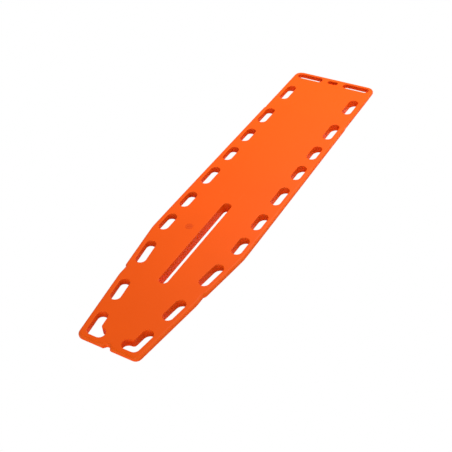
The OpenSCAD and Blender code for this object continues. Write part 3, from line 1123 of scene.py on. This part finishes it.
class BOARD_OT_plugs(BoardOperator):
    """Builds the filler plug in the deck and the two vent plugs underneath."""
    bl_idname = "board.plugs"
    bl_label = "Plugs"

    def execute(self, context):
        scene = context.scene
        filler, (head, foot) = fittings(scene)
        material = plug_plastic(scene.board_finishes)
        for name, fitting, cad in (("deck_plug", filler, "filler_plug"),
                                   ("head_under_plug", head, "head_vent_plug"),
                                   ("foot_under_plug", foot, "foot_vent_plug")):
            place(name, plug_mesh(name, fitting), material, "orange_plug", cad)
        return {"FINISHED"}


class BOARD_OT_tubes(BoardOperator):
    """Gives the stiffening tubes and their caps their finishes."""
    bl_idname = "board.tubes"
    bl_label = "Tubes and caps"

    def execute(self, context):
        finishes = context.scene.board_finishes
        wound, nylon = tube_material(finishes), cap_material(finishes)
        for side in ("left", "right"):
            for end, material in (("", wound), ("_head_cap", nylon), ("_foot_cap", nylon)):
                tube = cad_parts[side + "_tube" + end]
                tube.data.materials.clear()
                tube.data.materials.append(material)
        return {"FINISHED"}


class BOARD_OT_stage(BoardOperator):
    """Sets the camera, the pale floor and the soft lights."""
    bl_idname = "board.stage"
    bl_label = "Stage"

    def execute(self, context):
        scene, s = context.scene, context.scene.board_stage
        self.camera(scene, s)
        self.floor(scene, s)
        self.sky(scene, s)
        for name, power, at, width, aim in SOFTBOXES:
            self.softbox(scene, name, getattr(s, power), at, width, aim)
        scene.view_settings.view_transform = "Standard"
        scene.view_settings.look = "None"
        return {"FINISHED"}

    @staticmethod
    def camera(scene, s):
        camera = bpy.data.objects.new("Camera", bpy.data.cameras.new("Camera"))
        scene.collection.objects.link(camera)
        camera.data.lens = s.lens
        camera.data.sensor_width = 36.0
        turn = (Matrix.Rotation(s.azimuth, 4, "Z")
                @ Matrix.Rotation(math.pi / 2 - s.elevation, 4, "X"))
        back = turn @ Vector((0, 0, 1))
        camera.matrix_world = (Matrix.Translation(Vector(s.target) + back * s.distance) @ turn
                               @ Matrix.Rotation(-s.roll, 4, "Z"))
        camera.data.clip_end = 100.0
        scene.camera = camera

    @staticmethod
    def floor(scene, s):
        reach, z = FLOOR_REACH, -FLOOR_DROP
        corners = [(-reach, -reach, z), (reach, -reach, z), (reach, reach, z), (-reach, reach, z)]
        mesh = bpy.data.meshes.new("floor")
        mesh.from_pydata(corners, [], [(0, 1, 2, 3)])
        floor = bpy.data.objects.new("floor", mesh)
        scene.collection.objects.link(floor)
        material, tree, shader = blank("Studio floor")
        wire(tree, shader, {"Base Color": opaque(s.floor), "Roughness": 0.9,
                            "Specular IOR Level": 0.0})
        glow = node(tree, "Emission", {"Color": (1, 1, 1, 1), "Strength": 1.0}).outputs[0]
        seen = node(tree, "LightPath").outputs["Is Camera Ray"]
        both = node(tree, "MixShader", {0: seen, 1: shader.outputs[0], 2: glow}).outputs[0]
        wire(tree, tree.nodes["Material Output"], {"Surface": both})
        mesh.materials.append(material)

    @staticmethod
    def sky(scene, s):
        world = bpy.data.worlds.new("Studio")
        world.use_nodes = True
        scene.world = world
        tree = world.node_tree
        tree.nodes.clear()
        dim = node(tree, "Background", {"Color": (1, 1, 1, 1), "Strength": s.sky}).outputs[0]
        white = node(tree, "Background", {"Color": (1, 1, 1, 1), "Strength": 1.0}).outputs[0]
        seen = node(tree, "LightPath").outputs["Is Camera Ray"]
        both = node(tree, "MixShader", {0: seen, 1: dim, 2: white}).outputs[0]
        node(tree, "OutputWorld", {"Surface": both})

    @staticmethod
    def softbox(scene, name, power, at, width, aim):
        light = bpy.data.lights.new(name, "AREA")
        light.shape = "SQUARE"
        light.size = width
        light.energy = power
        box = bpy.data.objects.new(name, light)
        scene.collection.objects.link(box)
        box.location = at
        box.rotation_euler = (Vector(at) - Vector(aim)).to_track_quat("Z", "Y").to_euler()


OPERATORS = (BOARD_OT_deck, BOARD_OT_base, BOARD_OT_foam, BOARD_OT_plugs, BOARD_OT_tubes,
             BOARD_OT_stage)


class BOARD_PT_build(bpy.types.Panel):
    """Lists the board's pieces and its stage."""
    bl_label = "Spine board"
    bl_idname = "BOARD_PT_build"
    bl_space_type = "VIEW_3D"
    bl_region_type = "UI"
    bl_category = "Spine board"

    def draw(self, context):
        for operator in OPERATORS:
            self.layout.operator(operator.bl_idname)
        for group in SETTINGS:
            box = self.layout.box()
            held = getattr(context.scene, group)
            for name in held.bl_rna.properties.keys():
                if name not in ("rna_type", "name"):
                    box.prop(held, name)


SETTINGS = {"board_sizes": BoardSizes, "board_edges": EdgeSizes, "board_openings": OpeningSizes,
            "board_fittings": FittingSizes, "board_finishes": Finishes,
            "board_stage": StageSettings}


def register():
    for made in (*SETTINGS.values(), *OPERATORS, BOARD_PT_build):
        bpy.utils.register_class(made)
    for name, group in SETTINGS.items():
        setattr(bpy.types.Scene, name, PointerProperty(type=group))


def unregister():
    for name in SETTINGS:
        delattr(bpy.types.Scene, name)
    for made in (BOARD_PT_build, *reversed(OPERATORS), *reversed(SETTINGS.values())):
        bpy.utils.unregister_class(made)


def main():
    register()
    for operator in OPERATORS:
        family, name = operator.bl_idname.split(".")
        getattr(getattr(bpy.ops, family), name)()
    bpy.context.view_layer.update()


if __name__ == "__main__":
    main()
